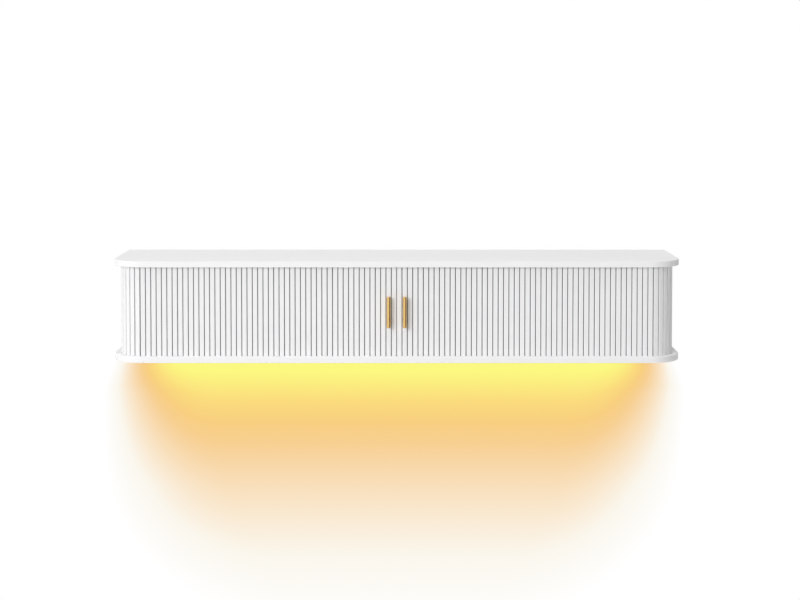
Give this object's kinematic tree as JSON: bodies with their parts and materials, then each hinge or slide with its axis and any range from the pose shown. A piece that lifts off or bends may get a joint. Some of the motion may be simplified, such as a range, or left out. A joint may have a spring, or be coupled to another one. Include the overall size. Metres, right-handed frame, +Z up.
{
  "type": "floating media console",
  "caption": "White wall-hung media console with rounded front corners, sliding slatted tambour doors, brass bar handles and a warm light strip beneath.",
  "frame": {"origin": "Middle of the wall rail's rear face, in the plane of the wall", "axes": "+Z up, +X to the right seen from in front, the front faces -Y and the wall is the plane y = 0"},
  "size_m": [1.8, 0.358, 0.32],
  "materials": {
    "lacquered_mdf": "satin white lacquer on MDF",
    "lacquered_slats": "satin white lacquer on MDF slats glued to dark grey canvas",
    "birch_plywood": "bare sanded birch plywood",
    "brushed_brass": "satin lacquered brass",
    "zinc_steel": "bright zinc plating",
    "anodised_aluminium": "natural satin anodising",
    "white_plastic": "moulded white plastic, fine texture",
    "opal_diffuser": "opal plastic, lit warm white from behind",
    "led_circuit": "white flexible circuit strip"
  },
  "bodies": {
    "console": {"top_board": "lacquered_mdf", "bottom_board": "lacquered_mdf", "outer_back_panel": "lacquered_mdf", "false_back_panel": "lacquered_mdf", "left_inner_side": "lacquered_mdf", "left_divider": "lacquered_mdf", "centre_divider": "lacquered_mdf", "right_divider": "lacquered_mdf", "right_inner_side": "lacquered_mdf", "left_rear_post": "lacquered_mdf", "right_rear_post": "lacquered_mdf", "left_cable_grommet": "white_plastic", "right_cable_grommet": "white_plastic", "carcass_screw_1": "zinc_steel", "carcass_screw_2": "zinc_steel", "carcass_screw_3": "zinc_steel", "carcass_screw_4": "zinc_steel", "carcass_screw_5": "zinc_steel", "carcass_screw_6": "zinc_steel", "carcass_screw_7": "zinc_steel", "carcass_screw_8": "zinc_steel", "carcass_screw_9": "zinc_steel", "carcass_screw_10": "zinc_steel", "led_channel": "anodised_aluminium", "led_strip": "led_circuit", "led_diffuser": "opal_diffuser", "led_end_cap": "white_plastic", "led_inlet": "white_plastic", "wall_rail": "birch_plywood", "hanging_rail": "birch_plywood", "hanging_rail_screw_1": "zinc_steel", "hanging_rail_screw_2": "zinc_steel", "hanging_rail_screw_3": "zinc_steel", "hanging_rail_screw_4": "zinc_steel", "left_front_slats": "lacquered_slats", "left_corner_slats": "lacquered_slats", "left_side_slats": "lacquered_slats", "right_front_slats": "lacquered_slats", "right_corner_slats": "lacquered_slats", "right_side_slats": "lacquered_slats", "left_stop_block": "birch_plywood", "left_stop_screw": "zinc_steel", "right_stop_block": "birch_plywood", "right_stop_screw": "zinc_steel"},
    "left_door": {"left_lead_rail": "lacquered_slats", "left_handle_bar": "brushed_brass", "left_handle_post_upper": "brushed_brass", "left_handle_post_lower": "brushed_brass", "left_handle_screw_upper": "zinc_steel", "left_handle_screw_lower": "zinc_steel"},
    "right_door": {"right_lead_rail": "lacquered_slats", "right_handle_bar": "brushed_brass", "right_handle_post_upper": "brushed_brass", "right_handle_post_lower": "brushed_brass", "right_handle_screw_upper": "zinc_steel", "right_handle_screw_lower": "zinc_steel"}
  },
  "joints": [
    {"name": "left_door_slide", "type": "slide", "parent": "console", "child": "left_door", "axis": [-1, 0, 0], "range_m": [0, 0.74008], "deforming": ["left_front_slats"]},
    {"name": "right_door_slide", "type": "slide", "parent": "console", "child": "right_door", "axis": [1, 0, 0], "range_m": [0, 0.74008], "deforming": ["right_front_slats"]}
  ]
}
